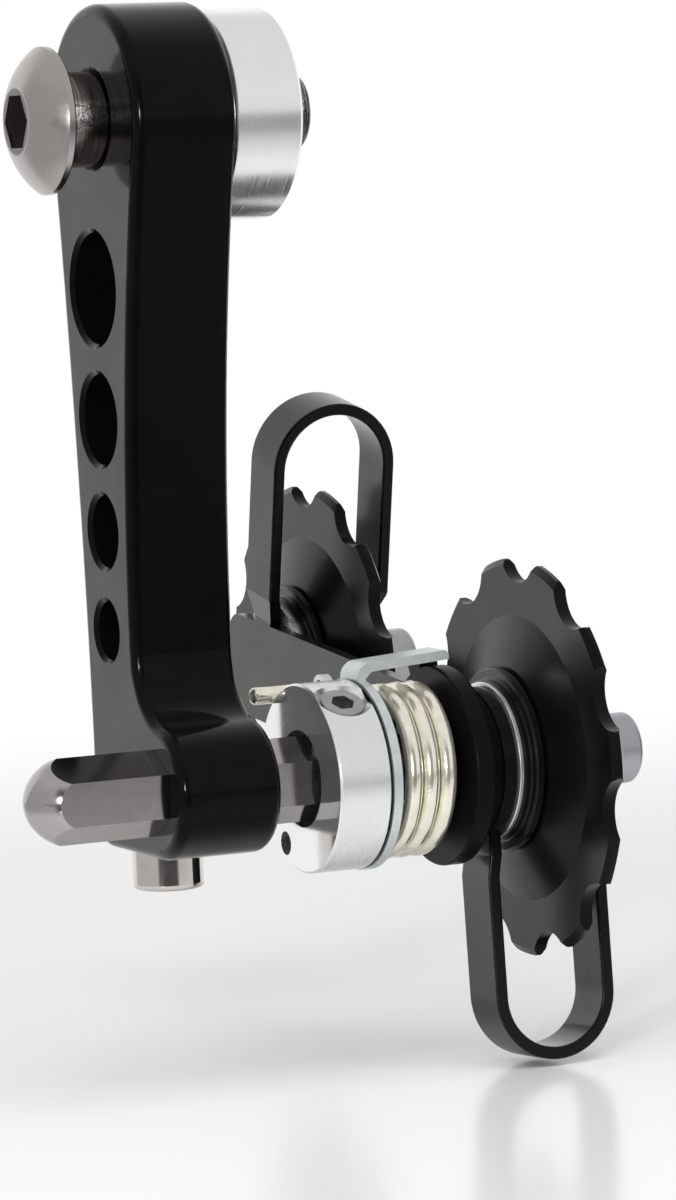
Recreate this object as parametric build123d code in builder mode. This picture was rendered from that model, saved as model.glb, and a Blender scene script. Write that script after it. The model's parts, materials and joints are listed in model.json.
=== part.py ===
from build123d import *
from math import atan2, cos, degrees, radians, sin, sqrt
import os

os.makedirs("parts", exist_ok=True)

# Millimetres. +X runs along the hanger bolt towards the wheel, +Y to the rear, +Z up.
# The origin is on the hanger bolt's axis, on the spacer's inner face.

# Clearances
run_gap = 0.05
clamp_gap = 0.04
seat_gap = 0.02
face_gap = 0.3
thread_gap = 0.02

# Arm and hanger
spacer_len = 8.6
spacer_back = 0.4
spacer_r = 12.3
arm_t = 12.8
arm_edge_r = 1.3
arm_head_r = 13.2
axle_dy = -10.0
axle_dz = -77.3
boss_r = 7.9
neck_r = 8.0
waist_front = 4.3
waist_rear = 18.6
tail_r = 4.0
front_lead = 14.0
rear_lead = 6.0
window_r = [6.5, 5.3, 4.2, 3.45]
window_pos = [(1.8, -19.5), (1.9, -34.75), (1.95, -47.8), (2.15, -59.4)]
window_chamfer = 0.5
slot_w = 1.6
clamp_dy = 12.0
bolt_pull = 5.2
bolt_out = 4.2
bolt_shoulder_r = 5.5
bolt_shoulder_len = 11.5
bolt_thread_r = 5.0
bolt_tip = 0.8
bolt_relief_r = 4.5
bolt_relief_len = 1.2
bolt_free = 0.1
bolt_socket_d = 4.0
bolt_head_r = 8.5
bolt_rim = 0.9
bolt_dome = 3.2
bolt_socket_af = 6.0
bolt_socket_ring_r = 4.0

# M5 socket screws
m5_r = 2.5
m5_head_r = 4.25
m5_head_h = 5.0
m5_socket_af = 4.0
m5_socket_d = 2.6
m5_head_round = 0.7

# Axle, collar, stop and spring
hex_af = 8.7
hex_left = -37.9
hex_dome = 4.6
axle_r = 4.2
collar_left = -3.3
collar_len = 6.7
collar_r = 11.1
collar_bore_gap = 0.68
pin_hole_r = 1.4
pin_angle = 149.0
grub_r = 2.5
grub_sink = 0.5
grub_below = 0.6
grub_key_r = 1.25
grub_angle = -30.0
stop_t = 1.1
stop_r = 11.3
tab_w = 4.6
tab_lift = 0.2
tab_rise = 0.7
tab_over = 0.2
wire_r = 1.1
coil_r = 9.4
coil_pitch = 2.559
coil_turns = 2.317
leg_out = 2.2
leg_r = 12.3
leg_angle = 42.0
ear_r = 1.9

# Pivot sleeve and cage
flange_r = 11.8
flange_t = 2.4
flange_round = 0.3
sleeve_r = 8.6
sleeve_len = 6.1
lug_h = 1.6
lug_span = 14.0
cage_t = 1.5
cage_break = 0.3
cage_gap = 11.6
joggle = 0.5
rear_joggle = 1.1
rear_joggle_low = 7.0
rear_joggle_high = 10.5
joggle_low = 11.0
joggle_high = 13.5
strap_w = 7.4
loop_reach = 35.8
front_lean = -4.0
rear_lean = 11.0
neck_near = 2.1
neck_far = 0.9
neck_low = 6.6
link_dy = 58.9
link_dz = 6.25
link_half_w = 6.4
link_tail = 10.5
link_corner = 3.0
front_eye_r = 8.9
eye_r = 7.0

# Pulleys and their stacks
teeth = 11
tip_r = 23.7
root_r = 20.9
valley_r = 4.5
tooth_t = 1.6
tooth_round = 0.6
tip_bevel = 0.8
web_r = 17.0
hub_r = 11.2
hub_t = 5.4
bush_r = 4.0
bush_stand = 0.6
cap_r = 10.9
cap_step_r = 9.6
cap_t = 2.0
cap_rim_t = 1.1
cap_break = 0.2
washer_r = 9.0
washer_t = 0.5
bolt_washer_r = 5.0
bolt_washer_t = 0.9
bolt_bite = 10.0
front_phase = 13.7
rear_phase = 15.0

# Derived positions
axle_y = axle_dy
axle_z = axle_dz
arm_right = -spacer_back - spacer_len
arm_left = arm_right - arm_t
arm_mid = (arm_left + arm_right) / 2
hex_right = collar_left + collar_len
collar_right = collar_left + collar_len
stop_right = collar_right + stop_t
coil_start = stop_right + wire_r + seat_gap
coil_end = coil_start + coil_pitch * coil_turns
flange_left = coil_end + wire_r + face_gap / 2
flange_right = flange_left + flange_t
plate_left = flange_left + sleeve_len
plate_right = plate_left + cage_t
eye_left = plate_right + cage_gap
eye_right = eye_left + cage_t
pulley_x = (plate_right + eye_left) / 2
washer_left_x = plate_right + face_gap
axle_right = washer_left_x + washer_t
bush_right = eye_right + bush_stand
rear_y = axle_y + link_dy
rear_z = axle_z + link_dz
tab_in = flange_r + tab_lift
hex_corner = hex_af / sqrt(3)
link_len = sqrt(link_dy ** 2 + link_dz ** 2)
link_tilt = degrees(atan2(link_dz, link_dy))


def across(x, y, z):
    return Plane(origin=(x, y, z), x_dir=(0, 1, 0), z_dir=(1, 0, 0))


def hanger(x):
    return across(x, 0, 0)


def front(x):
    return across(x, axle_y, axle_z)


def rear(x):
    return across(x, rear_y, rear_z)


def hexagon(af):
    return RegularPolygon(af / 2, 6, major_radius=False, rotation=30)


# Arm: one plate with a round head, a pinch-clamp foot and four windows
neck_y = axle_y + waist_front - neck_r
neck_h = sqrt((boss_r + neck_r) ** 2 - (waist_front - neck_r) ** 2)
neck_z = axle_z + neck_h
boss_touch_y = axle_y + boss_r * (neck_y - axle_y) / (boss_r + neck_r)
boss_touch_z = axle_z + boss_r * neck_h / (boss_r + neck_r)
front_y = axle_y + waist_front
back_y = axle_y + waist_rear
foot_z = axle_z - boss_r
fl = radians(front_lead)
rl = radians(rear_lead)
head_front = (-arm_head_r * cos(fl), -arm_head_r * sin(fl))
head_rear = (arm_head_r * cos(rl), -arm_head_r * sin(rl))
neck_mid = (neck_y + neck_r * sin(radians(45)), neck_z - neck_r * cos(radians(45)))
tail_mid = (back_y - tail_r + tail_r * sin(radians(45)), foot_z + tail_r - tail_r * cos(radians(45)))
screw_at = Plane(origin=(arm_mid, axle_y + clamp_dy, foot_z), x_dir=(1, 0, 0), z_dir=(0, 0, 1))

with BuildPart() as arm:
    with BuildSketch(hanger(arm_left)):
        with BuildLine():
            ThreePointArc(head_front, (0, arm_head_r), head_rear)
            Spline(head_rear, (back_y, foot_z + tail_r), tangents=[(-sin(rl), -cos(rl)), (0, -1)])
            ThreePointArc((back_y, foot_z + tail_r), tail_mid, (back_y - tail_r, foot_z))
            Line((back_y - tail_r, foot_z), (axle_y, foot_z))
            ThreePointArc((axle_y, foot_z), (axle_y - boss_r, axle_z), (boss_touch_y, boss_touch_z))
            ThreePointArc((boss_touch_y, boss_touch_z), neck_mid, (front_y, neck_z))
            Spline((front_y, neck_z), head_front, tangents=[(0, 1), (-sin(fl), cos(fl))])
        make_face()
    extrude(amount=arm_t)
    arm_faces = faces().sort_by(Axis.X)
    fillet(arm_faces[0].edges() + arm_faces[-1].edges(), arm_edge_r)
    with BuildSketch(hanger(arm_left - 1)):
        Circle(bolt_shoulder_r + run_gap)
    extrude(amount=arm_t + 2, mode=Mode.SUBTRACT)
    for r, (y, z) in zip(window_r, window_pos):
        with BuildSketch(hanger(arm_left - 1)):
            with Locations((y, z)):
                Circle(r)
        extrude(amount=arm_t + 2, mode=Mode.SUBTRACT)
    rims = [e for e in edges().filter_by(GeomType.CIRCLE) if e.is_closed]
    rims = [e for e in rims if min(abs(e.center().X - arm_left), abs(e.center().X - arm_right)) < 0.01]
    chamfer(ShapeList(rims), window_chamfer)
    with BuildSketch(front(arm_left - 1)):
        hexagon(hex_af + 2 * clamp_gap)
        with Locations((waist_rear / 2 + 2, 0)):
            Rectangle(waist_rear, slot_w)
    extrude(amount=arm_t + 2, mode=Mode.SUBTRACT)
    with BuildSketch(screw_at.offset(-1)):
        Circle(m5_r + thread_gap)
    extrude(amount=2 * boss_r + 3, mode=Mode.SUBTRACT)

arm.part.label = "arm"
export_step(arm.part, "parts/arm.step")

# Hanger bolt, drawn out of its seat by bolt_pull
bolt_seat = arm_left - bolt_pull
dome_left = bolt_seat - bolt_rim - bolt_dome
with BuildPart() as hanger_bolt:
    with BuildSketch(Plane.XZ):
        with BuildLine():
            Polyline(
                (dome_left, 0),
                (bolt_out, 0),
                (bolt_out, bolt_thread_r - bolt_tip),
                (bolt_out - bolt_tip, bolt_thread_r),
                (-bolt_free, bolt_thread_r),
                (-bolt_free, bolt_relief_r),
                (-bolt_free - bolt_relief_len, bolt_relief_r),
                (-bolt_free - bolt_relief_len, bolt_thread_r),
                (bolt_seat + bolt_shoulder_len, bolt_thread_r),
                (bolt_seat + bolt_shoulder_len, bolt_shoulder_r),
                (bolt_seat, bolt_shoulder_r),
                (bolt_seat, bolt_head_r - 0.2),
                (bolt_seat - 0.2, bolt_head_r),
                (bolt_seat - bolt_rim, bolt_head_r),
            )
            ThreePointArc(
                (bolt_seat - bolt_rim, bolt_head_r),
                (dome_left + bolt_dome * 0.38, bolt_head_r * 0.53 + bolt_socket_ring_r * 0.47),
                (dome_left, bolt_socket_ring_r),
            )
            Line((dome_left, bolt_socket_ring_r), (dome_left, 0))
        make_face()
    revolve(axis=Axis.X)
    with BuildSketch(hanger(dome_left)):
        RegularPolygon(bolt_socket_af / 2, 6, major_radius=False)
    extrude(amount=bolt_socket_d, mode=Mode.SUBTRACT)

hanger_bolt.part.label = "hanger_bolt"
export_step(hanger_bolt.part, "parts/hanger_bolt.step")

with BuildPart() as hanger_spacer:
    with BuildSketch(hanger(arm_right)):
        Circle(spacer_r)
        Circle(bolt_thread_r + face_gap, mode=Mode.SUBTRACT)
    extrude(amount=spacer_len)
    chamfer(edges().filter_by(GeomType.CIRCLE), 0.4)

hanger_spacer.part.label = "hanger_spacer"
export_step(hanger_spacer.part, "parts/hanger_spacer.step")

# Clamp screw, from below through the pinch slot
with BuildPart() as clamp_screw:
    with BuildSketch(screw_at.offset(-m5_head_h)):
        Circle(m5_head_r)
    extrude(amount=m5_head_h)
    fillet(edges().group_by(Axis.Z)[0], m5_head_round)
    with BuildSketch(screw_at):
        Circle(m5_r)
    extrude(amount=2 * boss_r - 0.5)
    with BuildSketch(screw_at.offset(-m5_head_h)):
        RegularPolygon(m5_socket_af / 2, 6, major_radius=False)
    extrude(amount=m5_socket_d, mode=Mode.SUBTRACT)

clamp_screw.part.label = "clamp_screw"
export_step(clamp_screw.part, "parts/clamp_screw.step")

# Axle: hexagon bar with a domed end, turned down for the spring and cage
with BuildPart() as pivot_axle:
    with BuildSketch(front(hex_left)):
        hexagon(hex_af)
    extrude(amount=hex_right - hex_left)
    with BuildSketch(Plane(origin=(hex_left, axle_y, axle_z), x_dir=(1, 0, 0), z_dir=(0, -1, 0))):
        with BuildLine():
            ThreePointArc((0, 0), (hex_dome * 0.22, hex_corner * 0.53), (hex_dome, hex_corner * 1.02))
            Line((hex_dome, hex_corner * 1.02), (hex_right - hex_left + 1, hex_corner * 1.02))
            Line((hex_right - hex_left + 1, hex_corner * 1.02), (hex_right - hex_left + 1, 0))
            Line((hex_right - hex_left + 1, 0), (0, 0))
        make_face()
    revolve(axis=Axis((hex_left, axle_y, axle_z), (1, 0, 0)), mode=Mode.INTERSECT)
    with BuildSketch(front(hex_right)):
        Circle(axle_r)
    extrude(amount=axle_right - hex_right)
    with BuildSketch(front(axle_right)):
        Circle(m5_r + thread_gap)
    extrude(amount=-14, mode=Mode.SUBTRACT)

pivot_axle.part.label = "pivot_axle"
export_step(pivot_axle.part, "parts/pivot_axle.step")


def turned(angle, r):
    a = radians(angle)
    return (r * sin(a), r * cos(a))


# Collar, with the spring's preload holes and a radial grub screw hole
grub_x = collar_left + collar_len / 2
grub_at = Plane(origin=(grub_x, axle_y, axle_z), x_dir=(1, 0, 0), z_dir=(0, *turned(grub_angle, 1)))
with BuildPart() as axle_collar:
    with BuildSketch(front(collar_left)):
        Circle(collar_r)
        Circle(hex_corner + collar_bore_gap, mode=Mode.SUBTRACT)
    extrude(amount=collar_len)
    with BuildSketch(front(collar_left)):
        with Locations(turned(pin_angle, coil_r)):
            Circle(pin_hole_r)
    extrude(amount=collar_len, mode=Mode.SUBTRACT)
    rims = [e for e in edges().filter_by(GeomType.CIRCLE) if abs(e.radius - collar_r) < 0.01]
    chamfer(ShapeList(rims), 0.25)
    with BuildSketch(grub_at):
        Circle(grub_r + thread_gap)
    extrude(amount=collar_r + 1, mode=Mode.SUBTRACT)
    with Locations(grub_at.offset(collar_r - 2 * grub_sink)):
        Cone(
            grub_r, grub_r + 2 * grub_sink, 2 * grub_sink,
            align=(Align.CENTER, Align.CENTER, Align.MIN), mode=Mode.SUBTRACT,
        )

axle_collar.part.label = "axle_collar"
export_step(axle_collar.part, "parts/axle_collar.step")

grub_foot = hex_af / 2 + seat_gap
grub_top = collar_r - grub_below
with BuildPart() as collar_grub_screw:
    with BuildSketch(grub_at.offset(grub_foot)):
        Circle(grub_r)
    extrude(amount=grub_top - grub_foot)
    with BuildSketch(grub_at.offset(grub_top)):
        RegularPolygon(grub_key_r, 6, major_radius=False)
    extrude(amount=-1.8, mode=Mode.SUBTRACT)

collar_grub_screw.part.label = "collar_grub_screw"
export_step(collar_grub_screw.part, "parts/collar_grub_screw.step")

# Stop ring: one sheet piece, its tab folded over the spring and the flange
bend_r = 0.8
tab_end = flange_right + tab_over
with BuildPart() as stop_ring:
    with BuildSketch(front(collar_right)):
        Circle(stop_r)
        with Locations((0, tab_in / 2)):
            Rectangle(tab_w, tab_in - 2 * bend_r)
        with Locations(Location((0, 0, 0), (0, 0, -leg_angle))):
            with Locations((0, leg_r / 2)):
                Rectangle(2 * ear_r, leg_r)
        with Locations(turned(leg_angle, leg_r)):
            Circle(ear_r)
            Circle(wire_r + face_gap / 2, mode=Mode.SUBTRACT)
        Circle(axle_r + seat_gap, mode=Mode.SUBTRACT)
    extrude(amount=stop_t)
    with BuildSketch(Plane(origin=(0, axle_y - tab_w / 2, axle_z), x_dir=(1, 0, 0), z_dir=(0, -1, 0))):
        with BuildLine():
            Polyline(
                (collar_right, tab_in - bend_r),
                (collar_right + stop_t, tab_in - bend_r),
                (collar_right + stop_t + bend_r, tab_in),
                (tab_end, tab_in + tab_rise),
                (tab_end, tab_in + tab_rise + stop_t - 0.4),
                (tab_end - 0.4, tab_in + tab_rise + stop_t),
                (collar_right + stop_t + bend_r, tab_in + stop_t),
            )
            TangentArc(
                (collar_right + stop_t + bend_r, tab_in + stop_t),
                (collar_right, tab_in - bend_r),
                tangent=(-1, 0),
            )
        make_face()
    extrude(amount=-tab_w)

stop_ring.part.label = "stop_ring"
export_step(stop_ring.part, "parts/stop_ring.step")

# Torsion spring, left-hand, one leg in the stop ring's ear and one in the flange
end_angle = leg_angle + 360 * coil_turns
axle_axis = Axis((0, axle_y, axle_z), (1, 0, 0))
wound = Helix(coil_pitch, coil_pitch * coil_turns, coil_r, center=(coil_start, axle_y, axle_z),
              direction=(1, 0, 0), lefthand=True)
wound_y = (wound @ 0).Y - axle_y
wound_z = (wound @ 0).Z - axle_z
coil = wound.rotate(axle_axis, degrees(atan2(wound_y, wound_z)) - leg_angle)
leg_start = collar_left - leg_out
leg_y, leg_z = turned(leg_angle, leg_r)
with BuildPart() as torsion_spring:
    with BuildSketch(Plane(coil @ 0, z_dir=coil % 0)):
        Circle(wire_r)
    sweep(path=coil)
    with Locations(coil @ 0, coil @ 1):
        Sphere(wire_r * 1.01)
    with BuildSketch(front(leg_start)):
        with Locations((leg_y, leg_z)):
            Circle(wire_r)
    extrude(amount=coil_start - leg_start)
    fillet(edges().group_by(Axis.X)[0], wire_r * 0.35)
    with Locations((coil_start, axle_y + leg_y, axle_z + leg_z)):
        Sphere(wire_r * 1.01)
    with BuildSketch(Plane(coil @ 0, z_dir=(0, *turned(leg_angle, 1)))):
        Circle(wire_r)
    extrude(amount=leg_r - coil_r)
    with BuildSketch(front(coil_end)):
        with Locations(((coil @ 1).Y - axle_y, (coil @ 1).Z - axle_z)):
            Circle(wire_r)
    extrude(amount=wire_r + face_gap / 2 + flange_t * 0.6)

torsion_spring.part.label = "torsion_spring"
export_step(torsion_spring.part, "parts/torsion_spring.step")

# Pivot sleeve, turning on the axle with the cage; its lug meets the stop tab
lug_start = degrees((tab_w / 2 + face_gap) / tab_in)
with BuildPart() as pivot_sleeve:
    with BuildSketch(front(flange_left)):
        Circle(flange_r)
        with BuildLine():
            PolarLine((0, 0), flange_r + lug_h, 90 - lug_start)
            PolarLine((0, 0), flange_r + lug_h, 90 - lug_start - lug_span)
            ThreePointArc(
                turned(lug_start, flange_r + lug_h),
                turned(lug_start + lug_span / 2, flange_r + lug_h),
                turned(lug_start + lug_span, flange_r + lug_h),
            )
        make_face()
    extrude(amount=flange_t)
    fillet(edges().filter_by(GeomType.CIRCLE).filter_by(lambda e: e.radius > sleeve_r), flange_round)
    with BuildSketch(front(flange_right)):
        Circle(sleeve_r)
    extrude(amount=sleeve_len - flange_t)
    with BuildSketch(front(flange_left)):
        Circle(axle_r + run_gap)
        with Locations(((coil @ 1).Y - axle_y, (coil @ 1).Z - axle_z)):
            Circle(wire_r + face_gap)
    extrude(amount=flange_t, mode=Mode.SUBTRACT)
    with BuildSketch(front(flange_right)):
        Circle(axle_r + run_gap)
    extrude(amount=sleeve_len - flange_t, mode=Mode.SUBTRACT)

pivot_sleeve.part.label = "pivot_sleeve"
export_step(pivot_sleeve.part, "parts/pivot_sleeve.step")


def loop_outline(sense, step, low, high):
    left = plate_left - step
    right = eye_right + step
    out_r = (right - left) / 2
    mid = (left + right) / 2
    spring_z = sense * (loop_reach - out_r)
    inner = left + cage_t
    with BuildSketch() as outline:
        with BuildLine():
            Polyline(
                (plate_left, 0),
                (plate_left, sense * low),
                (left, sense * high),
                (left, spring_z),
            )
            ThreePointArc((left, spring_z), (mid, sense * loop_reach), (right, spring_z))
            Polyline(
                (right, spring_z),
                (right, sense * high),
                (eye_right, sense * low),
                (eye_right, 0),
                (eye_left, 0),
                (eye_left, sense * low),
                (right - cage_t, sense * high),
                (right - cage_t, spring_z),
            )
            ThreePointArc(
                (right - cage_t, spring_z), (mid, sense * (loop_reach - cage_t)), (inner, spring_z)
            )
            Polyline(
                (inner, spring_z),
                (inner, sense * high),
                (plate_right, sense * low),
                (plate_right, 0),
                (plate_left, 0),
            )
        make_face()
    return outline.sketch


def leaning(y, z, lean):
    return Plane(origin=(0, y, z), x_dir=(1, 0, 0), z_dir=(0, -cos(radians(lean)), -sin(radians(lean))))


# Cage: one folded sheet, a link plate with a chain loop at each pulley
with BuildPart() as rear_loop:
    with BuildSketch(leaning(rear_y, rear_z, rear_lean)):
        add(loop_outline(1, rear_joggle, rear_joggle_low, rear_joggle_high))
    extrude(amount=strap_w / 2, both=True)
    fillet(faces().filter_by(leaning(rear_y, rear_z, rear_lean)).edges(), cage_break)
    with BuildSketch(rear(plate_left - 2 * cage_t)):
        with Locations(Location((0, 0, 0), (0, 0, rear_lean))):
            Polygon(
                (-strap_w / 2 + neck_near, 0),
                (strap_w / 2 - neck_far, 0),
                (strap_w / 2 - neck_far, neck_low),
                (strap_w / 2, rear_joggle_high),
                (strap_w / 2, loop_reach + 1),
                (-strap_w / 2, loop_reach + 1),
                (-strap_w / 2, rear_joggle_high),
                (-strap_w / 2 + neck_near, neck_low),
                align=None,
            )
    extrude(amount=cage_gap + 6 * cage_t, mode=Mode.INTERSECT)

with BuildPart() as cage:
    with BuildSketch(leaning(axle_y, axle_z, front_lean)):
        add(loop_outline(-1, joggle, joggle_low, joggle_high))
    extrude(amount=strap_w / 2, both=True)
    fillet(faces().filter_by(leaning(axle_y, axle_z, front_lean)).edges(), cage_break)
    add(rear_loop.part)
    with BuildSketch(front(plate_left)):
        Circle(front_eye_r)
        with Locations(Location((0, 0, 0), (0, 0, link_tilt))):
            with Locations(((link_len + link_tail) / 2, 0)):
                RectangleRounded(link_len + link_tail, 2 * link_half_w, link_corner)
    extrude(amount=cage_t)
    with BuildSketch(front(eye_left)):
        Circle(eye_r)
        with Locations((link_dy, link_dz)):
            Circle(eye_r)
    extrude(amount=cage_t)
    with BuildSketch(front(plate_left)):
        Circle(axle_r + run_gap)
    extrude(amount=cage_t, mode=Mode.SUBTRACT)
    with BuildSketch(front(eye_left)):
        Circle(bush_r + run_gap)
        with Locations((link_dy, link_dz)):
            Circle(m5_r + thread_gap)
    extrude(amount=cage_t, mode=Mode.SUBTRACT)

cage.part.label = "cage"
export_step(cage.part, "parts/cage.step")


def pulley_outline(phase):
    Circle(tip_r)
    for k in range(teeth):
        a = phase + (k + 0.5) * 360 / teeth
        with Locations(turned(a, root_r + valley_r)):
            Circle(valley_r, mode=Mode.SUBTRACT)


def hub_profile():
    half = hub_t / 2
    edge = tooth_t / 2
    bore = bush_r + run_gap
    with BuildSketch() as profile:
        with BuildLine():
            Polyline(
                (-half, bore),
                (-half, hub_r),
                (-edge, web_r),
                (-edge, web_r + 0.5),
                (edge, web_r + 0.5),
                (edge, web_r),
                (half, hub_r),
                (half, bore),
                (-half, bore),
            )
        make_face()
    return profile.sketch


def tooth_profile():
    edge = tooth_t / 2
    with BuildSketch() as profile:
        with BuildLine():
            Polyline(
                (-edge, web_r - 1),
                (-edge, tip_r - tip_bevel),
                (-edge / 3, tip_r),
                (edge / 3, tip_r),
                (edge, tip_r - tip_bevel),
                (edge, web_r - 1),
                (-edge, web_r - 1),
            )
        make_face()
    return profile.sketch


with BuildPart() as front_pulley:
    with BuildSketch(front(pulley_x - tooth_t / 2)):
        pulley_outline(front_phase)
        Circle(web_r, mode=Mode.SUBTRACT)
    extrude(amount=tooth_t)
    fillet(edges().filter_by(Axis.X), tooth_round)
    front_turning = Plane(origin=(pulley_x, axle_y, axle_z), x_dir=(1, 0, 0), z_dir=(0, -1, 0))
    with BuildSketch(front_turning):
        add(tooth_profile())
    revolve(axis=axle_axis, mode=Mode.INTERSECT)
    with BuildSketch(front_turning):
        add(hub_profile())
    revolve(axis=axle_axis)

front_pulley.part.label = "front_pulley"
export_step(front_pulley.part, "parts/front_pulley.step")

rear_axis = Axis((0, rear_y, rear_z), (1, 0, 0))
with BuildPart() as rear_pulley:
    with BuildSketch(rear(pulley_x - tooth_t / 2)):
        pulley_outline(rear_phase)
        Circle(web_r, mode=Mode.SUBTRACT)
    extrude(amount=tooth_t)
    fillet(edges().filter_by(Axis.X), tooth_round)
    rear_turning = Plane(origin=(pulley_x, rear_y, rear_z), x_dir=(1, 0, 0), z_dir=(0, -1, 0))
    with BuildSketch(rear_turning):
        add(tooth_profile())
    revolve(axis=rear_axis, mode=Mode.INTERSECT)
    with BuildSketch(rear_turning):
        add(hub_profile())
    revolve(axis=rear_axis)

rear_pulley.part.label = "rear_pulley"
export_step(rear_pulley.part, "parts/rear_pulley.step")


def stacked(place, bore, steps, soft=0):
    with BuildPart() as ring:
        for x, length, r in steps:
            with BuildSketch(place(x)):
                Circle(r)
                Circle(bore, mode=Mode.SUBTRACT)
            extrude(amount=length)
        if soft:
            least = min(r for x, length, r in steps)
            rims = edges().filter_by(GeomType.CIRCLE).filter_by(lambda e: e.radius > least - soft)
            chamfer(rims, soft)
    return ring.part


# Dust caps, thrust washers and bushes on each pulley's axis
cap_left_x = plate_right + face_gap + washer_t
cap_left_steps = [
    (cap_left_x, cap_t - cap_rim_t, cap_step_r),
    (cap_left_x + cap_t - cap_rim_t, cap_rim_t, cap_r),
]
cap_right_x = eye_left - face_gap - washer_t - cap_t
cap_right_steps = [
    (cap_right_x, cap_rim_t, cap_r),
    (cap_right_x + cap_rim_t, cap_t - cap_rim_t, cap_step_r),
]
washer_right_x = cap_right_x + cap_t

with BuildPart() as front_cap_left:
    add(stacked(front, bush_r + seat_gap, cap_left_steps, cap_break))

front_cap_left.part.label = "front_cap_left"
export_step(front_cap_left.part, "parts/front_cap_left.step")

with BuildPart() as front_cap_right:
    add(stacked(front, bush_r + seat_gap, cap_right_steps, cap_break))

front_cap_right.part.label = "front_cap_right"
export_step(front_cap_right.part, "parts/front_cap_right.step")

with BuildPart() as rear_cap_left:
    add(stacked(rear, bush_r + seat_gap, cap_left_steps, cap_break))

rear_cap_left.part.label = "rear_cap_left"
export_step(rear_cap_left.part, "parts/rear_cap_left.step")

with BuildPart() as rear_cap_right:
    add(stacked(rear, bush_r + seat_gap, cap_right_steps, cap_break))

rear_cap_right.part.label = "rear_cap_right"
export_step(rear_cap_right.part, "parts/rear_cap_right.step")

with BuildPart() as front_washer_left:
    add(stacked(front, axle_r + seat_gap, [(washer_left_x, washer_t, washer_r)]))

front_washer_left.part.label = "front_washer_left"
export_step(front_washer_left.part, "parts/front_washer_left.step")

with BuildPart() as front_washer_right:
    add(stacked(front, bush_r + seat_gap, [(washer_right_x, washer_t, washer_r)]))

front_washer_right.part.label = "front_washer_right"
export_step(front_washer_right.part, "parts/front_washer_right.step")

with BuildPart() as rear_washer_left:
    add(stacked(rear, bush_r + seat_gap, [(plate_right, washer_t + face_gap, washer_r)]))

rear_washer_left.part.label = "rear_washer_left"
export_step(rear_washer_left.part, "parts/rear_washer_left.step")

with BuildPart() as rear_washer_right:
    add(stacked(rear, bush_r + seat_gap, [(washer_right_x, washer_t + face_gap, washer_r)]))

rear_washer_right.part.label = "rear_washer_right"
export_step(rear_washer_right.part, "parts/rear_washer_right.step")

with BuildPart() as front_bush:
    add(stacked(front, m5_r + seat_gap, [(axle_right, bush_right - axle_right, bush_r)]))

front_bush.part.label = "front_bush"
export_step(front_bush.part, "parts/front_bush.step")

with BuildPart() as rear_bush:
    add(stacked(rear, m5_r + seat_gap, [(plate_right, cage_gap, bush_r)]))

rear_bush.part.label = "rear_bush"
export_step(rear_bush.part, "parts/rear_bush.step")

with BuildPart() as front_bolt_washer:
    add(stacked(front, m5_r + seat_gap, [(bush_right, bolt_washer_t, bolt_washer_r)]))

front_bolt_washer.part.label = "front_bolt_washer"
export_step(front_bolt_washer.part, "parts/front_bolt_washer.step")

with BuildPart() as rear_bolt_washer:
    add(stacked(rear, m5_r + seat_gap, [(eye_right, bolt_washer_t, bolt_washer_r)]))

rear_bolt_washer.part.label = "rear_bolt_washer"
export_step(rear_bolt_washer.part, "parts/rear_bolt_washer.step")


def pulley_bolt(place, tip_x, seat_x):
    with BuildPart() as bolt:
        with BuildSketch(place(seat_x)):
            Circle(m5_head_r)
        extrude(amount=m5_head_h)
        fillet(edges().group_by(Axis.X)[-1], m5_head_round)
        with BuildSketch(place(tip_x)):
            Circle(m5_r)
        extrude(amount=seat_x - tip_x)
        with BuildSketch(place(seat_x + m5_head_h)):
            RegularPolygon(m5_socket_af / 2, 6, major_radius=False)
        extrude(amount=-m5_socket_d, mode=Mode.SUBTRACT)
    return bolt.part


with BuildPart() as front_pulley_bolt:
    add(pulley_bolt(front, axle_right - bolt_bite, bush_right + bolt_washer_t))

front_pulley_bolt.part.label = "front_pulley_bolt"
export_step(front_pulley_bolt.part, "parts/front_pulley_bolt.step")

with BuildPart() as rear_pulley_bolt:
    add(pulley_bolt(rear, plate_right + face_gap, eye_right + bolt_washer_t))

rear_pulley_bolt.part.label = "rear_pulley_bolt"
export_step(rear_pulley_bolt.part, "parts/rear_pulley_bolt.step")
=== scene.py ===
import json
import math

import bpy
from mathutils import Euler, Matrix, Vector


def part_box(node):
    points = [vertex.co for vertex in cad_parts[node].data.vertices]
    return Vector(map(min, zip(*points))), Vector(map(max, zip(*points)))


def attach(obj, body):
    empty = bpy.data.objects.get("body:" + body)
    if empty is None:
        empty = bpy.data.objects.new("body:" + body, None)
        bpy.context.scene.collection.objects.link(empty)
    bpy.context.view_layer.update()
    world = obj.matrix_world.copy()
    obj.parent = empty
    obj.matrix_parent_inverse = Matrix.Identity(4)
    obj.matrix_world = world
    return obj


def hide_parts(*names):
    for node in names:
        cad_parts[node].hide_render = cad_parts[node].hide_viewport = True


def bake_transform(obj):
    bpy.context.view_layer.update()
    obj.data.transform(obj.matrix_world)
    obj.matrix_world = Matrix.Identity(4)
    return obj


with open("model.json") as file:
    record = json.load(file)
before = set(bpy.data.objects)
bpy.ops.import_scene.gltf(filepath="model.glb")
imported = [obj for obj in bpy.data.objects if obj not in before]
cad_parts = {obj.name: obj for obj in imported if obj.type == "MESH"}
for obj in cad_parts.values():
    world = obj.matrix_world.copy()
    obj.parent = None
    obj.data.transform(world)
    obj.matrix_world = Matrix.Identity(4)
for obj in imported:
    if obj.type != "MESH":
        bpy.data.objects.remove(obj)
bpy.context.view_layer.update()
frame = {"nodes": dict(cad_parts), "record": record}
nodes = frame["nodes"]
print("frame in:", len(nodes), "nodes")
perMetre = 1000   # sizes below are in millimetres, the scene is in metres


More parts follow.
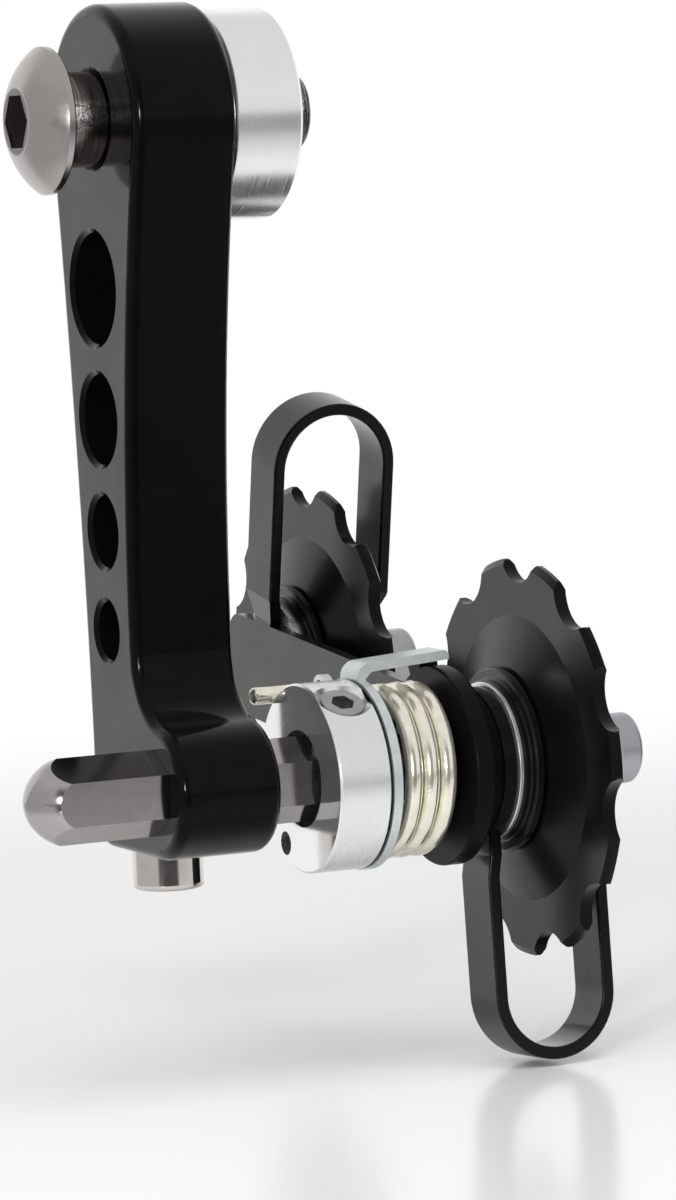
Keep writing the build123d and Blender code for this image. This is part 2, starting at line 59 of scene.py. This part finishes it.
class Wire:
    # a socket that does sums; every node in the file is made by node()
    def __init__(self, tree, socket=None):
        self.tree = tree
        self.socket = socket

    def node(self, kind, settings=None, inputs=None, out=0):
        made = self.tree.nodes.new(kind)
        for key, value in (settings or {}).items():
            setattr(made, key, value)
        for key, value in (inputs or {}).items():
            if isinstance(value, Wire):
                self.tree.links.new(value.socket, made.inputs[key])
            else:
                made.inputs[key].default_value = value
        return Wire(self.tree, made.outputs[out] if made.outputs else None)

    def sum(self, operation, first, second=0.0):
        return self.node("ShaderNodeMath", {"operation": operation}, {0: first, 1: second})

    def __add__(self, other):
        return self.sum("ADD", self, other)

    def __radd__(self, other):
        return self.sum("ADD", other, self)

    def __sub__(self, other):
        return self.sum("SUBTRACT", self, other)

    def __rsub__(self, other):
        return self.sum("SUBTRACT", other, self)

    def __mul__(self, other):
        return self.sum("MULTIPLY", self, other)

    def __rmul__(self, other):
        return self.sum("MULTIPLY", other, self)

    def __truediv__(self, other):
        return self.sum("DIVIDE", self, other)

    def __rtruediv__(self, other):
        return self.sum("DIVIDE", other, self)

    def clip(self):
        return self.node("ShaderNodeClamp", None, {0: self})

    def step(self, low, high):
        # 0 below low, 1 above high, eased between
        return self.node("ShaderNodeMapRange", {"interpolation_type": "SMOOTHSTEP"},
                         {"Value": self, "From Min": low, "From Max": high})

    def split(self):
        made = self.node("ShaderNodeSeparateXYZ", None, {0: self})
        return [Wire(self.tree, s) for s in made.socket.node.outputs]

    def join(self, x, y, z):
        return self.node("ShaderNodeCombineXYZ", None, {0: x, 1: y, 2: z})

    def swing(self, amount):
        # a noise lies about 0.5, so this runs to both sides of 0
        return (self - 0.5) * amount

    def noise(self, place, scale, detail=2.0, rough=0.5):
        return self.node("ShaderNodeTexNoise", None,
                         {"Vector": place, "Scale": scale, "Detail": detail, "Roughness": rough})

    def blend(self, share, first, second):
        return self.node("ShaderNodeMix", {"data_type": "RGBA"}, {0: share, 6: first, 7: second}, out=2)


def colour(r, g, b):
    return (r, g, b, 1.0)


def scaled(tone, share):
    return colour(*[c * share for c in tone[:3]])


def newFinish(name, base, metal, rough, **fixed):
    material = bpy.data.materials.new(name)
    material.use_nodes = True
    tree = material.node_tree
    tree.nodes.clear()
    kit = Wire(tree)
    sockets = {"Base Color": base, "Metallic": metal, "Roughness": rough}
    sockets.update(fixed)
    shader = kit.node("ShaderNodeBsdfPrincipled", None, sockets)
    kit.node("ShaderNodeOutputMaterial", None, {"Surface": shader})
    return material, kit, shader.socket.node


def feed(kit, shader, name, value):
    kit.tree.links.new(value.socket, shader.inputs[name])


def millimetres(kit):
    place = kit.node("ShaderNodeTexCoord", out=3)
    return kit.node("ShaderNodeVectorMath", {"operation": "SCALE"}, {0: place, "Scale": perMetre})


joints = {joint["name"]: joint for joint in frame["record"]["behaviour"]["joints"]}
axisAt = {"hanger": (0.0, 0.0)}   # mm, Y and Z; every axis lies along X
for end in ("front", "rear"):
    axisAt[end] = [at * perMetre for at in joints[end + "_pulley_spin"]["pos_m"][1:]]
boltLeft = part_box("hanger_bolt")[0][0] * perMetre
collarLeft, collarRight = [corner[0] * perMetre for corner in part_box("axle_collar")]
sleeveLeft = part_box("pivot_sleeve")[0][0] * perMetre


def roundTheAxis(kit, place, axes):
    # distance from the nearest of the axes along X, and the angle round the first
    x, y, z = place.split()
    reach = None
    for name in axes:
        dy = y - axisAt[name][0]
        dz = z - axisAt[name][1]
        gap = kit.sum("SQRT", dy * dy + dz * dz)
        if reach is None:
            reach, turn = gap, kit.sum("ARCTAN2", dz, dy)
        else:
            reach = kit.sum("MINIMUM", reach, gap)
    return x, reach, turn


edgeSoft = 0.04      # mm over which one finish gives way to the next
markDepth = 0.00002  # m, how deep tool marks and moulded grain are
plateContrast = 1.6  # how sharply a plated metal's mottle turns from dark to pale
coatContrast = 1.8   # the same for a black coat
coatCloud = 0.3      # how far the cloud in a black coat varies its sheen
mouldRings = {"rough": 0.08, "grain": 0.6, "height": 0.8}   # on round moulded pieces


def bump(kit, shader, height, strength, depth):
    normal = kit.node("ShaderNodeBump", None, {"Strength": strength, "Distance": depth, "Height": height})
    feed(kit, shader, "Normal", normal)


def turnedMetal(name, spec):
    # lathe marks run round the axis on faces and barrels alike
    material, kit, shader = newFinish(name, spec["colour"], spec["metal"], spec["rough"])
    place = millimetres(kit)
    x, reach, turn = roundTheAxis(kit, place, spec["axes"])
    lathe = kit.join(x * spec["pitch"], reach * spec["pitch"], turn * spec["drift"])
    marks = kit.noise(lathe, 1.0, detail=3.0, rough=0.62)
    cloud = kit.noise(place, spec["cloud"])
    rough = spec["rough"] + marks.swing(spec["roughSpread"]) + cloud.swing(spec["roughCloud"])
    if "faceX" in spec:
        rough = rough - (1 - x.step(spec["faceX"], spec["faceX"] + edgeSoft)) * spec["facePolish"]
    feed(kit, shader, "Roughness", rough)
    shade = (0.5 + marks.swing(spec["shade"])).clip()
    tone = kit.blend(shade, scaled(spec["colour"], spec["dip"]), spec["colour"])
    # painted shade: a near-black band over the last stretch of the collar, as a narrow groove lying in
    # shade
    if "gapShadeX" in spec:
        tone = kit.blend(x.step(spec["gapShadeX"] - edgeSoft, spec["gapShadeX"] + edgeSoft), tone, spec["gapShade"])
    feed(kit, shader, "Base Color", tone)
    bump(kit, shader, marks, spec["bump"], markDepth)
    return material


def hangerNickel(name, spec):
    # dome, shank, thread and key socket of one bolt, each told by its place; a painted highlight runs along
    # the shank's front, and painted shade darkens the thread grooves, the key socket and its mouth
    material, kit, shader = newFinish(name, spec["dome"], 1.0, spec["rough"])
    place = millimetres(kit)
    x, reach, turn = roundTheAxis(kit, place, ["hanger"])
    deep = x - boltLeft   # from the dome's face inwards
    lathe = kit.join(x * spec["lathe"], reach * spec["lathe"], turn * spec["drift"])
    marks = kit.noise(lathe, 1.0, detail=3.0, rough=0.6)
    mottle = kit.noise(place, spec["mottle"], detail=3.0, rough=0.6)
    sparkle = kit.noise(place, spec["sparkle"], detail=2.0, rough=0.7)
    shank = deep.step(*spec["seatDeep"])
    ring = (1 - deep.step(*spec["ringDeep"])) * (1 - reach.step(*spec["ringReach"]))
    socket = deep.step(*spec["socketDeep"]) * (1 - reach.step(*spec["socketReach"])) * (1 - shank)
    thread = x.step(*spec["threadX"])
    ridge = kit.sum("PINGPONG", x / spec["pitch"] + turn / (2 * math.pi), 0.5) * 2.0
    # painted highlight: a bright streak along the front of the shank, broken up by grain
    facing = kit.sum("COSINE", turn - spec["glintAt"])
    paintedGlint = facing.step(*spec["glintFacing"]) * sparkle.step(*spec["glintGrain"])
    shade = (spec["domeShade"] + mottle.swing(spec["domeMottle"])).clip()
    tone = kit.blend(shade, scaled(spec["dome"], spec["dip"]), spec["dome"])
    barrel = kit.blend(marks.step(*spec["shankMarks"]), spec["shankDark"], spec["shank"])
    tone = kit.blend(shank, tone, kit.blend(paintedGlint, barrel, spec["bright"]))
    # painted shade in the thread's grooves
    tone = kit.blend(thread * (1 - ridge) * spec["threadShadeShare"], tone, spec["hollowShade"])
    # painted shade in the key socket and round its mouth
    hollowShadeMask = (socket * spec["socketShadeShare"] + ring * spec["ringShadeShare"]).clip()
    feed(kit, shader, "Base Color", kit.blend(hollowShadeMask, tone, spec["hollowShade"]))
    rough = spec["rough"] + marks.swing(spec["roughSpread"]) + mottle.swing(spec["roughCloud"])
    feed(kit, shader, "Roughness", rough + socket * spec["socketRough"] - shank * spec["shankPolish"])
    height = marks * spec["markShare"] + ridge * thread
    bump(kit, shader, height, spec["bump"], spec["threadDepth"] / perMetre)
    return material


def plainMetal(name, spec):
    # drawn or plated metal: long marks along one direction and a soft mottle
    material, kit, shader = newFinish(name, spec["colour"], spec.get("metal", 1.0), spec["rough"])
    place = millimetres(kit)
    x, y, z = place.split()
    sx, sy, sz = spec["marks"]
    marks = kit.noise(kit.join(x * sx, y * sy, z * sz), 1.0, detail=3.0, rough=0.6)
    mottle = kit.noise(place, spec["mottle"], detail=3.0, rough=0.6)
    rough = spec["rough"] + marks.swing(spec["roughSpread"]) + mottle.swing(spec["roughCloud"])
    feed(kit, shader, "Roughness", rough)
    shade = (0.5 + mottle.swing(plateContrast)).clip()
    feed(kit, shader, "Base Color", kit.blend(shade, scaled(spec["colour"], spec["dip"]), spec["colour"]))
    bump(kit, shader, marks, spec["bump"], markDepth)
    return material


def blackCoat(name, spec):
    # black over metal or moulded: nearly all of its look is the sheen
    material, kit, shader = newFinish(name, spec["colour"], 0.0, spec["rough"], **spec["fixed"])
    place = millimetres(kit)
    fine = kit.noise(place, spec["grain"], detail=2.0, rough=0.55)
    broad = kit.noise(place, spec["cloud"], detail=3.0, rough=0.6)
    rough = spec["rough"] + fine.swing(spec["roughSpread"]) + broad.swing(spec["roughCloud"])
    height = fine
    if "rings" in spec:
        x, reach, _ = roundTheAxis(kit, place, ["front", "rear"])
        rings = kit.noise(kit.join(reach * spec["rings"], x * spec["rings"], 0.0), 1.0)
        rough = rough + rings.swing(mouldRings["rough"])
        height = fine * mouldRings["grain"] + rings * mouldRings["height"]
    feed(kit, shader, "Roughness", rough)
    slant = kit.node("ShaderNodeLayerWeight", None, {"Blend": 0.5}, out=1)
    feed(kit, shader, "Coat Weight", slant.step(*spec["slant"]) * (spec["sheen"] + broad.swing(coatCloud)))
    shade = (0.5 + broad.swing(coatContrast)).clip()
    feed(kit, shader, "Base Color", kit.blend(shade, spec["colour"], scaled(spec["colour"], spec["lift"])))
    bump(kit, shader, height, spec["bump"], markDepth)
    return material


armFinish = {
    "colour": colour(0.0018, 0.0018, 0.0022), "rough": 0.14, "grain": 9.0, "cloud": 0.12,
    "roughSpread": 0.05, "roughCloud": 0.06, "lift": 1.6, "bump": 0.05,
    "slant": (0.22, 0.60), "sheen": 0.43,
    "fixed": {"IOR": 1.17, "Coat IOR": 1.5, "Coat Roughness": 0.06},
}
cageFinish = {
    "colour": colour(0.0032, 0.0030, 0.0030), "rough": 0.30, "grain": 5.0, "cloud": 0.15,
    "roughSpread": 0.10, "roughCloud": 0.10, "lift": 1.6, "bump": 0.10,
    "slant": (0.16, 0.55), "sheen": 0.50,
    "fixed": {"IOR": 1.24, "Coat IOR": 1.5, "Coat Roughness": 0.15},
}
pulleyFinish = {
    "colour": colour(0.0022, 0.0020, 0.0020), "rough": 0.33, "grain": 6.0, "cloud": 0.18,
    "roughSpread": 0.12, "roughCloud": 0.10, "lift": 1.7, "bump": 0.12, "rings": 1.6,
    "slant": (0.18, 0.60), "sheen": 0.50,
    "fixed": {"IOR": 1.20, "Coat IOR": 1.5, "Coat Roughness": 0.24},
}
sleeveFinish = {
    "colour": colour(0.0020, 0.0017, 0.0021), "rough": 0.36, "grain": 4.0, "cloud": 0.2,
    "roughSpread": 0.14, "roughCloud": 0.12, "lift": 1.6, "bump": 0.16, "rings": 2.2,
    "slant": (0.20, 0.65), "sheen": 0.07,
    "fixed": {"IOR": 1.17, "Coat IOR": 1.5, "Coat Roughness": 0.32},
}
capFinish = {
    "colour": colour(0.0026, 0.0025, 0.0027), "rough": 0.24, "grain": 6.0, "cloud": 0.2,
    "roughSpread": 0.08, "roughCloud": 0.08, "lift": 1.5, "bump": 0.08, "rings": 3.0,
    "slant": (0.20, 0.65), "sheen": 0.5,
    "fixed": {"IOR": 1.28, "Coat IOR": 1.5, "Coat Roughness": 0.22},
}
boltFinish = {   # a pair is where a zone begins and where it is full; depths and reaches in mm
    "dome": colour(0.47, 0.435, 0.42), "dip": 0.86, "domeShade": 0.7, "domeMottle": 0.8,
    "shank": colour(0.32, 0.285, 0.27), "shankDark": colour(0.13, 0.112, 0.105), "shankMarks": (0.35, 0.7),
    # the bright colour is a painted highlight for the shank's front; the darkest one is painted shade for
    # the thread grooves, the key socket and its mouth
    "bright": colour(0.86, 0.83, 0.81), "hollowShade": colour(0.07, 0.06, 0.055),
    "glintAt": math.radians(176), "glintFacing": (0.93, 1.0), "glintGrain": (0.35, 0.6),
    "seatDeep": (4.05, 4.15), "socketDeep": (0.1, 0.9), "socketReach": (3.55, 3.75), "socketShadeShare": 0.55,
    "ringDeep": (0.02, 0.06), "ringReach": (3.70, 3.95), "ringShadeShare": 0.8,
    "threadX": (-0.2, -0.1), "pitch": 1.0, "threadDepth": 0.35, "threadShadeShare": 0.8,
    "rough": 0.24, "roughSpread": 0.10, "roughCloud": 0.10, "socketRough": 0.15, "shankPolish": 0.06,
    "lathe": 4.0, "drift": 0.5, "mottle": 0.8, "sparkle": 3.5, "markShare": 0.03, "bump": 0.9,
}
spacerFinish = {
    "axes": ["hanger"], "colour": colour(0.96, 0.96, 0.963), "metal": 0.95, "rough": 0.22,
    "pitch": 6.0, "drift": 1.0, "cloud": 0.4, "roughSpread": 0.22, "roughCloud": 0.10,
    "shade": 1.1, "dip": 0.92, "bump": 0.20,
}
collarFinish = {
    "axes": ["front"], "colour": colour(0.91, 0.91, 0.915), "metal": 0.95, "rough": 0.28,
    "pitch": 6.0, "drift": 0.5, "cloud": 0.4, "roughSpread": 0.12, "roughCloud": 0.06,
    "shade": 0.9, "dip": 0.90, "bump": 0.06,
    "faceX": collarLeft + 0.02, "facePolish": 0.20,
    # painted shade for the narrow groove at the collar's inner end
    "gapShadeX": collarRight - 0.38, "gapShade": colour(0.012, 0.013, 0.014),
}
washerFinish = {
    "axes": ["front", "rear"], "colour": colour(0.94, 0.94, 0.95), "metal": 0.9, "rough": 0.26,
    "pitch": 8.0, "drift": 0.5, "cloud": 0.4, "roughSpread": 0.08, "roughCloud": 0.05,
    "shade": 0.8, "dip": 0.88, "bump": 0.05,
}
bushFinish = {
    "axes": ["front", "rear"], "colour": colour(0.60, 0.60, 0.61), "metal": 1.0, "rough": 0.28,
    "pitch": 8.0, "drift": 0.5, "cloud": 0.4, "roughSpread": 0.10, "roughCloud": 0.05,
    "shade": 0.8, "dip": 0.85, "bump": 0.06,
}
hexFinish = {
    "colour": colour(0.50, 0.472, 0.462), "rough": 0.13, "marks": (0.12, 6.0, 6.0), "mottle": 0.35,
    "roughSpread": 0.08, "roughCloud": 0.10, "dip": 0.84, "bump": 0.06,
}
clampFinish = {
    "colour": colour(0.72, 0.68, 0.65), "rough": 0.10, "marks": (5.0, 5.0, 0.5), "mottle": 0.6,
    "roughSpread": 0.06, "roughCloud": 0.08, "dip": 0.86, "bump": 0.06,
}
zincFinish = {
    "colour": colour(0.72, 0.77, 0.76), "metal": 0.85, "rough": 0.34,
    "marks": (1.2, 6.0, 0.8), "mottle": 0.9, "roughSpread": 0.16, "roughCloud": 0.16,
    "dip": 0.78, "bump": 0.12,
}
wireFinish = {
    "colour": colour(0.96, 0.92, 0.79), "metal": 0.82, "rough": 0.17,
    "marks": (7.0, 0.8, 0.8), "mottle": 0.7, "roughSpread": 0.12, "roughCloud": 0.12,
    "dip": 0.80, "bump": 0.10,
}
satinFinish = {
    "colour": colour(0.50, 0.49, 0.515), "rough": 0.36, "marks": (0.6, 5.0, 5.0), "mottle": 0.5,
    "roughSpread": 0.12, "roughCloud": 0.10, "dip": 0.84, "bump": 0.08,
}
darkFinish = {
    "colour": colour(0.50, 0.50, 0.49), "rough": 0.26, "marks": (4.0, 4.0, 4.0), "mottle": 0.8,
    "roughSpread": 0.12, "roughCloud": 0.10, "dip": 0.7, "bump": 0.10,
}

finishes = {
    "black_anodised": blackCoat("blackAnodised", armFinish),
    "black_cage": blackCoat("cagePaint", cageFinish),
    "black_pulley": blackCoat("pulleyNylon", pulleyFinish),
    "black_nylon": blackCoat("sleeveNylon", sleeveFinish),
    "black_cap": blackCoat("capNylon", capFinish),
    "nickel_steel": hangerNickel("boltNickel", boltFinish),
    "bright_aluminium": turnedMetal("spacerAluminium", spacerFinish),
    "turned_aluminium": turnedMetal("collarAluminium", collarFinish),
    "bright_washer": turnedMetal("thrustWasher", washerFinish),
    "bush_steel": turnedMetal("bushSteel", bushFinish),
    "polished_steel": plainMetal("hexSteel", hexFinish),
    "zinc_sheet": plainMetal("stopZinc", zincFinish),
    "spring_wire": plainMetal("springWire", wireFinish),
    "satin_steel": plainMetal("screwSatin", satinFinish),
    "dark_steel": plainMetal("grubSteel", darkFinish),
}
slotOf = {entry["node"]: entry["material_slot"] for entry in frame["record"]["subparts"]}
for node, slot in slotOf.items():
    nodes[node].material_slots[0].material = finishes[slot]
nodes["clamp_screw"].material_slots[0].material = plainMetal("clampChrome", clampFinish)
print("finishes on:", len(finishes) + 1)


def addPiece(name, mesh, node):
    # a mesh that is shown in the place of a node, in that node's finish
    piece = bpy.data.objects.new(name, mesh)
    bpy.context.scene.collection.objects.link(piece)
    mesh.materials.clear()
    mesh.materials.append(finishes[slotOf[node]])
    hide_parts(node)
    return piece


def smoothFaces(mesh):
    for polygon in mesh.polygons:
        polygon.use_smooth = True


def roundFront(x, angle, reach):
    # a point about the front axis in mm; degrees run from the top to the rear
    y, z = axisAt["front"]
    a = math.radians(angle)
    return Vector((x, y + reach * math.sin(a), z + reach * math.cos(a)))


sleeveShape = {"along": 1.1, "flange": 2.45}   # mm; the flange's first stretch slides along the sleeve


def slideFlange(spec):
    mesh = nodes["pivot_sleeve"].data.copy()
    mesh.name = "sleeveSeen"
    for vertex in mesh.vertices:
        if vertex.co.x * perMetre < sleeveLeft + spec["flange"]:
            vertex.co.x += spec["along"] / perMetre
    piece = addPiece("sleeveSeen", mesh, "pivot_sleeve")
    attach(piece, "cage")


springShape = {   # mm and degrees
    "wire": 1.04, "coil": 9.3, "turns": 3.317, "ring": 1.1, "air": 0.02, "endAir": 0.15, "endDepth": 1.4,
    "legAngle": 42.0, "legReach": 12.3, "legOut": 2.2, "bend": 1.3, "perTurn": 60, "sides": 7,
    "tip": (0.0, 0.12, 0.35, 0.8), "tipShares": (0.55, 0.82, 0.97),   # the leg's tip is rounded over
}


def roundCorner(before, corner, after, steps=7):
    # a smooth bend from one point to another that leans on the corner
    ways = [(i / steps) for i in range(steps + 1)]
    return [before * (1 - t) ** 2 + corner * (2 * t * (1 - t)) + after * t ** 2 for t in ways]


def windSpring(spec):
    startX = collarRight + spec["ring"] + spec["air"] + spec["wire"]
    endX = sleeveLeft + sleeveShape["along"] - spec["endAir"] - spec["wire"]
    tipX = collarLeft - spec["legOut"]

    def along(share):
        x = startX + (endX - startX) * share
        return roundFront(x, spec["legAngle"] + 360 * spec["turns"] * share, spec["coil"])

    leg, legReach, bend = spec["legAngle"], spec["legReach"], spec["bend"]
    bendShare = bend / (2 * math.pi * spec["coil"] * spec["turns"])
    count = int(spec["perTurn"] * spec["turns"])
    route = [roundFront(tipX + d, leg, legReach) for d in spec["tip"]]
    elbow = roundFront(startX, leg, legReach)
    beforeElbow = roundFront(startX - bend, leg, legReach)
    afterElbow = roundFront(startX, leg, legReach - bend)
    route += roundCorner(beforeElbow, elbow, afterElbow)
    route += roundCorner(roundFront(startX, leg, spec["coil"] + bend), along(0), along(bendShare))
    route += [along(bendShare + (1 - 2 * bendShare) * i / count) for i in range(1, count)]
    out = Vector((1, 0, 0))
    route += roundCorner(along(1 - bendShare), along(1), along(1) + out * bend)
    route.append(along(1) + out * (spec["wire"] + spec["endAir"] + spec["endDepth"]))

    curve = bpy.data.curves.new("springRoute", "CURVE")
    curve.dimensions = "3D"
    curve.bevel_depth = spec["wire"] / perMetre
    curve.bevel_resolution = spec["sides"]
    curve.use_fill_caps = True
    spline = curve.splines.new("POLY")
    spline.points.add(len(route) - 1)
    for point, place in zip(spline.points, route):
        point.co = (*(place / perMetre), 1)
    for point, share in zip(spline.points, spec["tipShares"]):
        point.radius = share
    guide = bpy.data.objects.new("springRoute", curve)
    mesh = bpy.data.meshes.new_from_object(guide)
    bpy.data.objects.remove(guide)
    smoothFaces(mesh)
    piece = addPiece("springWound", mesh, "torsion_spring")
    along(0) / perMetre
    along(1) / perMetre
    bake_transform(piece)


washerShape = {"bore": 4.25, "reach": 9.36, "edge": 0.08, "sides": 96, "crisp": 30}   # mm; crisp in degrees


def turnWasher(spec):
    left, right = [corner[0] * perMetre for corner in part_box("front_washer_left")]
    edge = spec["edge"]
    profile = [
        (left, spec["bore"] + edge), (left, spec["reach"] - edge), (left + edge, spec["reach"]),
        (right - edge, spec["reach"]), (right, spec["reach"] - edge), (right, spec["bore"] + edge),
        (right - edge, spec["bore"]), (left + edge, spec["bore"]),
    ]
    points = []
    for i in range(spec["sides"]):
        points += [roundFront(x, 360 * i / spec["sides"], r) / perMetre for x, r in profile]
    n = len(profile)
    faces = []
    for i in range(spec["sides"]):
        here, there = i * n, (i + 1) % spec["sides"] * n
        faces += [(here + k, here + (k + 1) % n, there + (k + 1) % n, there + k) for k in range(n)]
    mesh = bpy.data.meshes.new("thrustWasherSeen")
    mesh.from_pydata(points, [], faces)
    smoothFaces(mesh)
    piece = addPiece("thrustWasherSeen", mesh, "front_washer_left")
    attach(piece, "axle")
    split = piece.modifiers.new("crispEdges", "EDGE_SPLIT")
    split.split_angle = math.radians(spec["crisp"])


slideFlange(sleeveShape)
windSpring(springShape)
turnWasher(washerShape)
print("sleeve, spring and thrust washer on")


stageSettings = {   # metres
    "floorGap": 0.00035, "floorSize": 6.0,   # the gap is under the cage's lowest point
    "floorColour": colour(0.82, 0.82, 0.825), "floorRough": 0.20, "floorGloss": 0.24,
    "fade": (0.14, 0.40), "mirrorFade": (0.08, 0.17),   # how far out the floor turns plain white
    "ahead": (0.10, 0.40), "floorAhead": 0.36,
    "ambient": 0.44, "overhead": 0.70, "overheadFrom": (0.40, 0.75), "feather": 5,
    "zones": [   # degrees left of the front, and how bright the studio is there
        (-93, -60, 0.15), (-56, -4, 0.74), (-4, 56, 0.08), (56, 140, 0.58),
    ],
}


def roomLevel(kit, x, y, spec):
    # how bright the studio shows in polished faces, by the way they look
    left = kit.sum("ARCTAN2", x * -1.0, y * -1.0) * (180 / math.pi)
    soft = spec["feather"]
    level = 1
    for low, high, shade in spec["zones"]:
        inside = left.step(low - soft, low + soft) * (1 - left.step(high - soft, high + soft))
        level = level - inside * (1 - shade)
    return level


def seenRays(kit):
    # the camera's own rays, and the rays that carry its view on
    ray = kit.node("ShaderNodeLightPath").socket.node.outputs
    camera = Wire(kit.tree, ray["Is Camera Ray"])
    carried = Wire(kit.tree, ray["Is Glossy Ray"]) + Wire(kit.tree, ray["Is Transmission Ray"])
    return camera, carried.clip() * (1 - camera)


def layFloor(spec):
    mesh = bpy.data.meshes.new("studioFloor")
    size = spec["floorSize"]
    corners = [(-size, -size, 0), (size, -size, 0), (size, size, 0), (-size, size, 0)]
    mesh.from_pydata(corners, [], [(0, 1, 2, 3)])
    floor = bpy.data.objects.new("studioFloor", mesh)
    floor.location = (0, 0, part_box("cage")[0][2] - spec["floorGap"])
    bpy.context.scene.collection.objects.link(floor)
    gloss = {"Specular IOR Level": spec["floorGloss"]}
    material, kit, shader = newFinish("paleFloor", spec["floorColour"], 0.0, spec["floorRough"], **gloss)
    tree = kit.tree
    output = next(n for n in tree.nodes if n.type == "OUTPUT_MATERIAL")
    x, y, _ = kit.node("ShaderNodeTexCoord", out=3).split()
    away = kit.sum("SQRT", x * x + y * y)
    camera, carried = seenRays(kit)
    ahead = (y * -1.0).step(*spec["ahead"])   # in front of the object the floor falls into shade
    level = camera + carried * roomLevel(kit, x, y, spec) * (1 - ahead * (1 - spec["floorAhead"]))
    white = kit.node("ShaderNodeEmission", None, {"Color": level, "Strength": 1.0})
    share = camera * away.step(*spec["fade"]) + carried * away.step(*spec["mirrorFade"])
    mixed = kit.node("ShaderNodeMixShader", None, {0: share, 1: Wire(tree, shader.outputs[0]), 2: white})
    tree.links.new(mixed.socket, output.inputs["Surface"])
    mesh.materials.append(material)


def paintWorld(spec):
    world = bpy.data.worlds.new("studioAir")
    bpy.context.scene.world = world
    world.use_nodes = True
    tree = world.node_tree
    tree.nodes.clear()
    kit = Wire(tree)
    x, y, z = kit.node("ShaderNodeTexCoord").split()
    up = z.step(*spec["overheadFrom"])
    level = roomLevel(kit, x, y, spec) * (1 - up) + up * spec["overhead"]
    camera, carried = seenRays(kit)
    strength = camera + carried * level + (1 - camera) * (1 - carried) * spec["ambient"]
    sky = kit.node("ShaderNodeBackground", None, {"Color": strength, "Strength": 1.0})
    kit.node("ShaderNodeOutputWorld", None, {"Surface": sky})


lampSettings = {
    # degrees left of the front and up, metres away, size in metres, watts, share of diffuse light
    "keyLeft": {"left": 44, "up": 7, "far": 0.75, "size": (0.08, 0.07), "power": 3.0, "soft": 0.3},
    "leftSoft": {"left": 44, "up": 44, "far": 0.8, "size": (0.45, 0.45), "power": 2.5, "soft": 1},
    "topSoft": {"left": -10, "up": 66, "far": 0.8, "size": (0.5, 0.5), "power": 2.3, "soft": 1},
    "frontRight": {"left": -32, "up": 14, "far": 0.9, "size": (0.45, 0.5), "power": 1.3, "soft": 1},
}
lampAim = Vector((0.0, 0.0, -0.05))
mirroredLamps = ["keyLeft"]   # the ones that polished faces show


def hangLamps(lamps):
    for name, spec in lamps.items():
        data = bpy.data.lights.new(name, "AREA")
        data.shape = "RECTANGLE"
        data.size, data.size_y = spec["size"]
        data.energy = spec["power"]
        data.diffuse_factor = spec["soft"]
        lamp = bpy.data.objects.new(name, data)
        lamp.visible_glossy = name in mirroredLamps
        a = math.radians(spec["left"])
        e = math.radians(spec["up"])
        way = Vector((-math.sin(a) * math.cos(e), -math.cos(a) * math.cos(e), math.sin(e)))
        lamp.location = lampAim + way * spec["far"]
        lamp.rotation_euler = way.to_track_quat("Z", "Y").to_euler()
        bpy.context.scene.collection.objects.link(lamp)


cameraSettings = {   # metres, degrees, and pixels of the photograph
    "eye": (-0.24690, -0.54207, -0.00593), "turn": (85.0450, 2.3271, -25.3107),
    "focalPixels": 5064.9, "photoHeight": 1200, "sensor": 24.0, "near": 0.01,
}


def setCamera(spec):
    data = bpy.data.cameras.new("photoCamera")
    data.sensor_fit = "VERTICAL"
    data.sensor_height = spec["sensor"]
    data.lens = spec["focalPixels"] * data.sensor_height / spec["photoHeight"]
    data.clip_start = spec["near"]
    camera = bpy.data.objects.new("photoCamera", data)
    turn = Euler([math.radians(a) for a in spec["turn"]])
    camera.matrix_world = Matrix.Translation(spec["eye"]) @ turn.to_matrix().to_4x4()
    bpy.context.scene.collection.objects.link(camera)
    bpy.context.scene.camera = camera


layFloor(stageSettings)
paintWorld(stageSettings)
hangLamps(lampSettings)
setCamera(cameraSettings)
bpy.context.scene.view_settings.view_transform = "Standard"
print("stage lit")
